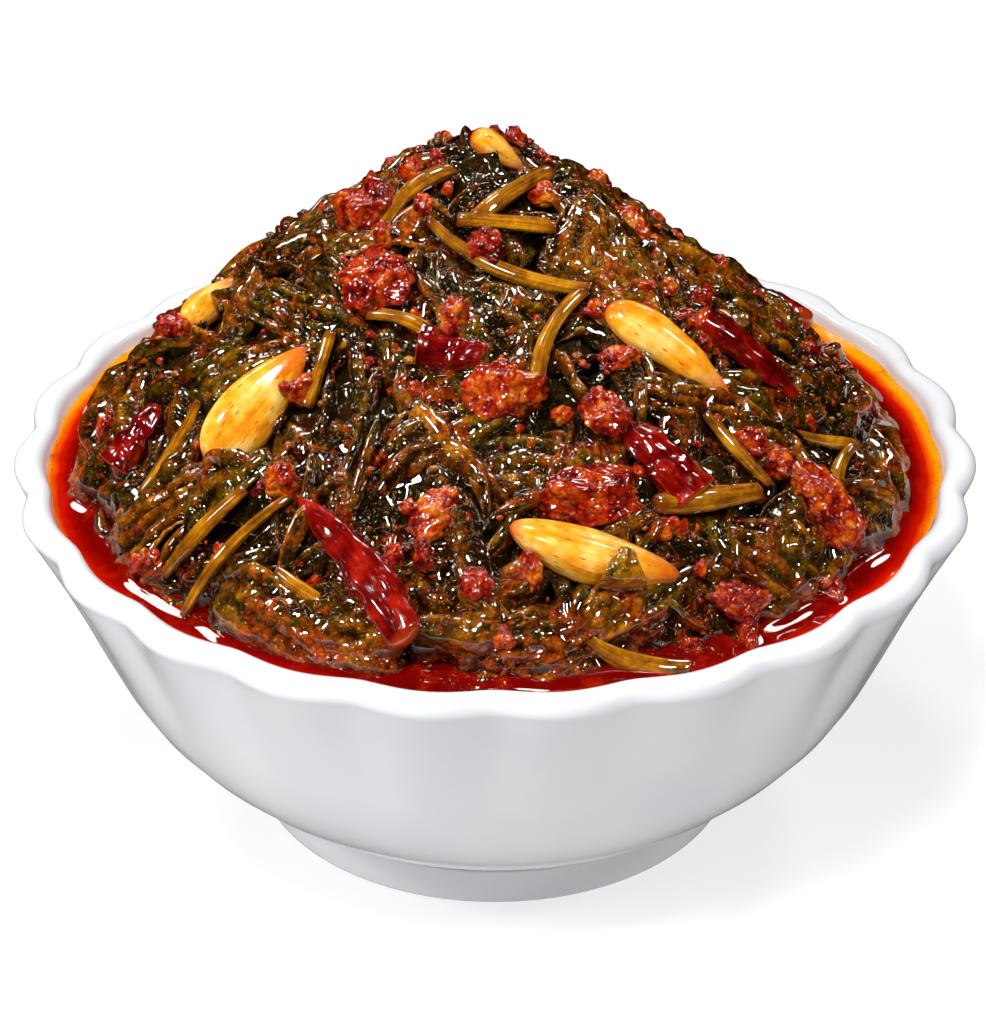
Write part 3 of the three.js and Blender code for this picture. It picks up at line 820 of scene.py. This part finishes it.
for number, node in enumerate(nodes_of("garlic"), start=1):
    shape = clove(100 + number, plump=1.15 if number == 2 else 0.97, spindle=number == 4)
    laid_piece(f"clove_{number}", node, shape, clove_triangles, garlic_skin)


# ---------------------------------------------------------------- dried chillies
# Whole and broken dried red chillies, softened in the oil: thin glossy crimson skin drawn into long
# wrinkles, blunt where the stalk came off, tapering to a thin tip; three are broken off short.

pod_share, pod_angle, pod_triangles = rod_shape(44, 76)

chilli = Finish("chilli skin")
chilli_cloud = chilli.cloudy(chilli.place(4), detail=2.0)
chilli_crease = chilli.cloudy(chilli.place(1, (7, 0.9, 0.9), "lie"), detail=3.0)
chilli_end = chilli.between(chilli.attribute("share"), 0.9, 0.0, 0.01, 0.07)
chilli_red = chilli.ramp(chilli_crease * 0.4 + chilli_cloud * 0.6, (0.36, (0.035, 0.0005, 0.0005)),
                         (0.5, (0.17, 0.0015, 0.001)), (0.68, (0.46, 0.014, 0.002)))
chilli_skin = chilli.skin(
    colour=chilli.mixed(chilli_end, chilli_red, (0.50, 0.045, 0.002)),
    roughness=chilli.between(chilli_cloud, 0.10, 0.22),
    normal=chilli.bump(chilli_crease * 0.5 + chilli.cloudy(chilli.place(2.6), detail=1.0), 0.5),
    coat=1.0,
)
wet(chilli, (1, 0.75, 0.65), blur=0.08)


def pod(seed, broken, plump, droop):
    pick = np.random.default_rng(seed)
    phase = pick.uniform(0, math.tau, 4)

    def place(lie):
        share, angle = pod_share, pod_angle
        tip = (1 - 0.4 * share) * (1 - share**12) ** 0.5 if broken else (1 - share**2.6) ** 0.8
        neck = 0.68 + 0.32 * np.sin(np.minimum(share / 0.32, 1) * math.pi / 2)
        radius = np.minimum(1, (share / 0.04) ** 0.5) * (1 if broken else neck) * tip
        wrinkle = (0.10 * np.abs(np.sin(2.5 * angle + 2.2 * share + phase[0]))
                   + 0.06 * np.sin(5 * angle - 4 * share + phase[1])
                   + 0.04 * np.sin(9 * angle + 6 * share + phase[2]))
        pinch = 0.07 * np.sin(17 * share + phase[3]) + 0.04 * np.sin(31 * share + 2 * angle)
        middle = np.sin(math.pi * share)
        radius = radius * (0.95 - wrinkle * (0.1 + 0.9 * middle) + pinch * middle)
        along = (share - 0.5) * lie.length * 0.99
        wide, tall = lie.width / 2 * plump, max(lie.height, lie.width * 0.75) / 2
        sunk = droop * mm * np.clip((share - 0.5) / 0.5, 0, 1) ** 2
        return along, np.cos(angle) * radius * wide, np.sin(angle) * radius * tall - sunk

    return place


for number, node in enumerate(nodes_of("chilli"), start=1):
    plump, droop = (1.3, 2.4) if number == 3 else (1.06, 0)
    shape = pod(200 + number, number in (2, 3, 4), plump, droop)
    laid_piece(f"dried_chilli_{number}", node, shape, pod_triangles, chilli_skin)


# ---------------------------------------------------------------- leaf stems
# Stems of the leaves, softened but whole: golden-olive fibrous rods 2 to 3.7 mm thick, cut off square
# and a little ragged at the ends.

stem_share, stem_angle, stem_triangles = rod_shape(20, 40)

stem = Finish("leaf stem")
stem_fibre = stem.cloudy(stem.place(1, (16, 0.45, 0.45), "lie"), detail=2.0)
stem_cloud = stem.cloudy(stem.place(4), detail=2.0)
stem_end = (stem.between(stem.attribute("share"), 1.0, 0.0, 0.0, 0.15)
            + stem.between(stem.attribute("share"), 0.0, 1.0, 0.85, 1.0))
stem_base = stem.ramp(stem_fibre * 0.5 + stem_cloud * 0.5, (0.36, (0.10, 0.028, 0.001)),
                      (0.5, (0.34, 0.108, 0.002)), (0.66, (0.70, 0.30, 0.005)))
stem_skin = stem.skin(
    colour=stem.mixed((stem_end + stem_cloud - 0.55).clamped(), stem_base, (0.16, 0.030, 0.002)),
    roughness=stem.between(stem_cloud, 0.16, 0.3),
    normal=pebbled(stem, 0.5, more=stem_fibre * 0.5)[0],
    coat=1.0,
)
wet(stem)


def stalk(seed):
    pick = np.random.default_rng(seed)
    phase = pick.uniform(0, math.tau, 3)

    def place(lie):
        place_along = (1 - np.cos(math.pi * stem_share)) / 2
        radius = np.sin(math.pi * stem_share) ** 0.16
        ribs = 1 + 0.07 * np.cos(5 * stem_angle + phase[0]) + 0.03 * np.cos(11 * stem_angle + phase[1])
        uneven = 1 + 0.10 * np.sin(7 * place_along + phase[2]) - 0.12 * place_along
        thick = max(min(lie.width, lie.height * 1.2) * 0.88, 2 * mm) / 2
        radius = radius * ribs * uneven * thick
        along = (place_along - 0.5) * lie.length
        return along, np.cos(stem_angle) * radius, np.sin(stem_angle) * radius * 0.9

    return place


for number, node in enumerate(nodes_of("stem"), start=1):
    laid_piece(f"leaf_stem_{number}", node, stalk(300 + number), stem_triangles, stem_skin)


# ---------------------------------------------------------------- masala
# Coarsely ground chilli and spice that has clung together: lumps of wet red and orange grains, and
# crumbs of the same thing all over the leaves.


def ball_shape(fineness):
    """Directions spread evenly all round, and the triangles between them."""
    ball = bmesh.new()
    bmesh.ops.create_icosphere(ball, subdivisions=fineness, radius=1)
    ways, triangles = taken_out(ball)
    return unit(ways), triangles


def grainy_ball(ways, grains, size, seed):
    """Distance to the outside of a ball packed with round grains, in every direction."""
    pick = np.random.default_rng(seed)
    seats = unit(pick.normal(size=(grains, 3))) * pick.uniform(0.66, 0.84, grains)[:, None]
    radii = pick.uniform(*size, grains)
    ahead = ways @ seats.T
    inside = radii**2 - (seats**2).sum(1) + ahead**2
    reach = np.where(inside > 0, ahead + np.sqrt(np.maximum(inside, 0)), 0)
    return np.maximum(reach.max(1), 0.72)


def chunk(ways, seed):
    """Distance to the outside of an angular chunk: a ball cut off by faces on every side, edges rounded."""
    pick = np.random.default_rng(seed)
    faces = unit(pick.normal(size=(10, 3)))
    depth = pick.uniform(0.62, 1.0, 10)
    cuts = depth / np.maximum(ways @ faces.T, 0.05)
    soft = (np.minimum(cuts, 3) ** -9.0).sum(1) ** (-1 / 9)
    return np.minimum(soft * 1.12, 1.12)


masala = Finish("ground masala")
masala_cloud = masala.cloudy(masala.place(3.4), detail=3.0)
masala_normal, masala_bead, masala_chance = pebbled(masala, 0.8, cells=0.7, grain=1.4)
# The tone is darker away from each grain's middle: painted shade between the grains.
masala_tone = (masala_cloud * 1.1 + masala_chance * 0.16 + masala.attribute("tone") * 0.16
               - masala_bead * 0.18 - 0.12)
masala_skin = masala.skin(
    colour=masala.ramp(masala_tone, (0.22, (0.05, 0.001, 0.0005)), (0.42, (0.24, 0.004, 0.001)),
                       (0.58, (0.44, 0.030, 0.001)), (0.78, (0.68, 0.17, 0.004))),
    roughness=masala.between(masala_cloud, 0.10, 0.18),
    normal=masala_normal,
    coat=1.0,
)
wet(masala, (1, 0.75, 0.5), 1.62, gloss=0.3)

lump_ways, lump_triangles = ball_shape(5)
for number, node in enumerate(nodes_of("masala"), start=1):
    lie = Lie(node)
    skin_points = lump_ways * 5 * mm
    uneven = 0.15 * ripple(skin_points, 5, 420 + number) + 0.09 * ripple(skin_points, 2.2, number)
    reach = chunk(lump_ways, 400 + number) * (1 + uneven)
    reach = reach + 0.24 * (grainy_ball(lump_ways, 190, (0.10, 0.24), 440 + number) - 0.87)
    local = lump_ways * reach[:, None] * np.array([lie.length, lie.width, lie.height]) / 2
    points = lie.points(local[:, 0], local[:, 1], local[:, 2])
    tone = np.full((1, len(points)), (number * 0.37) % 1)
    lump = joined_mesh(points[None], lump_triangles, {"tone": tone})
    piece(f"masala_lump_{number}", lump, masala_skin, [node])

crumb_shapes = 9                    # crumbs of one kind share this many shapes
heap_top = 112.4 * mm               # nothing small stands higher


def crumbs(name, count, seed, size, sink, fineness, grains, grain_size, laid=None, leafy=False):
    """Lumpy bodies resting on the heap as one piece, of ground spice or of leaf, sizes in millimetres.
    Where laid is given, each lies at its place (x, y, z) with its own size."""
    pick = np.random.default_rng(seed)
    ways, triangles = ball_shape(fineness)
    starts = heap_centre + unit(spots_on_heap(count, seed, 0.12, 1.4))
    radius = pick.uniform(*size, count) / 2 * mm
    lift = pick.uniform(*sink, count) * mm
    if laid is not None:
        starts, radius = np.array(laid, float)[:, :3] * mm, np.array(laid, float)[:, 3] / 2 * mm
    spot, normal, aim = on_heap(starts)
    if laid is None:
        lift = lift - sampled(heap_cover, aim) * 3 * mm
    spot = spot + normal * lift[:, None]
    shapes = np.stack([grainy_ball(ways, grains, grain_size, seed + kind) * chunk(ways, seed + 20 + kind)
                       for kind in range(crumb_shapes)])
    stretch = pick.uniform(0.7, 1.3, (count, 1, 3))
    local = ways[None] * shapes[pick.integers(0, crumb_shapes, count)][..., None] * stretch
    points = spot[:, None] + local * radius[:, None, None]
    points[..., 2] -= np.maximum(points[..., 2].max(1) - heap_top, 0)[:, None]
    fields = {"tone": np.repeat(pick.uniform(0, 1, (count, 1)), len(ways), axis=1)}
    if leafy:
        # Leafy crumbs get a middling, random share of the leaves' painted light and shade.
        fields["ridge"] = fields["tone"] * 0.6 + 0.3
    look, slot = (leaf_skin, "cooked_leaf") if leafy else (masala_skin, "masala")
    piece(name, joined_mesh(points, triangles, fields), look)


bits = [
    (18, -26, 90, 5), (-50, 3, 81, 7), (36, 9, 87, 6), (49, -42, 60, 7), (38, -56, 59, 7), (18, -16, 95, 3),
    (23, -16, 93, 3), (26, -12, 95, 3), (30, -16, 93, 3.4), (31, -17, 88, 3.6), (25, -47, 73, 4.5),
    (28, -58, 60, 3.4), (-64, -12, 61, 5), (38, -31, 78, 6), (42, -31, 75, 6.5), (46, -32, 71, 6),
    (50, -32, 68, 5.5), (52, -31, 65, 5), (65, 3, 60, 5), (-58, -11, 69, 5), (-51, -39, 62, 5),
    (10, -35, 85, 3.4), (-7, -46, 77, 4), (22, -15, 94, 4), (-29.5, -28.5, 86.5, 5.5), (5, -57.5, 71.7, 5.6),
    (-2, -58.4, 70.7, 5), (-10, -53, 73.3, 5), (-9, 0, 110, 3.6), (-10.3, -7, 105, 3.6), (-1, -13, 101, 6.5),
    (-6.3, -24, 96, 6), (15, -53, 71.5, 3.4), (1.4, -62, 65.5, 5.5), (-14, -54, 72.5, 4.5),
    (-30.4, -40, 77.4, 5), (16, 5, 103, 5.5)]
crumbs("masala_bits", len(bits), 81, (1, 1), (-0.2, 0.6), 4, 60, (0.2, 0.36), laid=bits)
crumbs("masala_crumbs", 70, 51, (1.8, 4.0), (-0.3, 1.0), 3, 30, (0.3, 0.45))
crumbs("leaf_crumbs", 600, 91, (0.7, 1.6), (-0.2, 1.0), 2, 8, (0.5, 0.8), leafy=True)
crumbs("masala_grains", 300, 61, (0.7, 1.5), (0.0, 1.4), 2, 8, (0.45, 0.7))


# ---------------------------------------------------------------- oil
# Clear chilli oil, up to 2.5 mm below the rim. It climbs a little where it meets the glass and the
# leaves, is deep red where it is deep and turns orange and yellow in the thin edge at the wall.

pool_inner, pool_outer, pool_floor = 50.0, 70.45, 50.3
pool_foot = 66.2                    # the pool's radius at its floor
wall_at_oil = 70.2                  # the wall's radius at the oil's level
pool_steps, pool_turns = 56, 620
look_down = 12                      # what stands out of the oil is looked for from this far above it
climb = 0.9
wall_climb = 0.15                   # share of the climb at the wall
wall_reach = 0.7                    # how far out from the wall that climb fades
climb_passes = 24


def pool_with_edges(ring):
    """Lets the surface climb at the wall and in a smooth slope against everything that stands out of it."""
    above = bmesh.new()
    for made in scene.objects:
        if made.name.startswith(("lea", "large", "masala")):
            above.from_mesh(made.data)
    shore = BVHTree.FromBMesh(above)
    above.free()
    top = [vertex for vertex in ring.verts if abs(vertex.co.z - oil_level * mm) < 1e-5]
    standing = np.zeros((pool_turns, pool_steps))
    cells = []
    for vertex in top:
        radius, turn = math.hypot(vertex.co.x, vertex.co.y) / mm, math.atan2(vertex.co.y, vertex.co.x)
        cell = (round(turn / math.tau * pool_turns) % pool_turns,
                round((radius - pool_inner) / (pool_outer - pool_inner) * (pool_steps - 1)))
        start = vertex.co + Vector((0, 0, look_down * mm))
        standing[cell] = shore.ray_cast(start, Vector((0, 0, -1)), (look_down - 0.1) * mm)[0] is not None
        cells.append(cell)
    for _ in range(climb_passes):
        standing = (2 * standing + np.roll(standing, 1, 0) + np.roll(standing, -1, 0)) / 4
        standing[:, 1:-1] = (2 * standing[:, 1:-1] + standing[:, 2:] + standing[:, :-2]) / 4
    for vertex, cell in zip(top, cells):
        wall = max(0, wall_at_oil - math.hypot(vertex.co.x, vertex.co.y) / mm)
        rise = wall_climb * math.exp(-wall / wall_reach) + min(1, 2 * standing[cell])
        vertex.co.z += climb * rise * mm


oil = Finish("chilli oil")
oil_x = oil.node("ShaderNodeSeparateXYZ", {}, {"Vector": oil.place(1)}, output="X")
oil_y = Value(oil, oil_x.socket.node.outputs["Y"])
oil_radius = (oil_x * oil_x + oil_y * oil_y) ** 0.5
oil_drift = oil.cloudy(oil.place(7), detail=2.0)
oil_edge = oil_radius + oil_drift * 1.6 - 1.3 + oil_y * 0.042 + oil_x * 0.006
oil_speck = oil.between(oil.grains(oil.place(1.0)), 1.0, 0.0, 0.08, 0.20)
oil_murk = oil.between(oil.cloudy(oil.place(4), detail=3.0), 0.0, 1.0, 0.52, 0.70)
oil_colour = oil.ramp(oil.between(oil_edge, 0.0, 1.0, 62.0, 70.4), (0.30, (0.15, 0.001, 0.0005)),
                      (0.55, (0.32, 0.002, 0.0005)), (0.76, (0.60, 0.008, 0.0005)),
                      (0.89, (0.86, 0.11, 0.001)), (0.97, (0.93, 0.33, 0.004)))
oil_skin = oil.skin(
    colour=oil.mixed(oil_speck * 0.6, oil.mixed(oil_murk * 0.5, oil_colour, (0.42, 0.012, 0.001)),
                     (0.05, 0.001, 0.0005)),
    roughness=0.03,
    normal=oil.bump(oil.cloudy(oil.place(14), detail=1.0), 0.2),
    coat=1.0,
)
wet(oil, clear=1.5, gloss=0.1, blur=0.02)

pool_top = [(radius, oil_level) for radius in np.linspace(pool_inner, pool_outer, pool_steps)]
pool = turned(pool_top + [(pool_foot, pool_floor), (pool_inner, pool_floor)], pool_turns, closed=True)
pool_with_edges(pool)
piece("chilli_oil", pool, oil_skin, ["oil"])
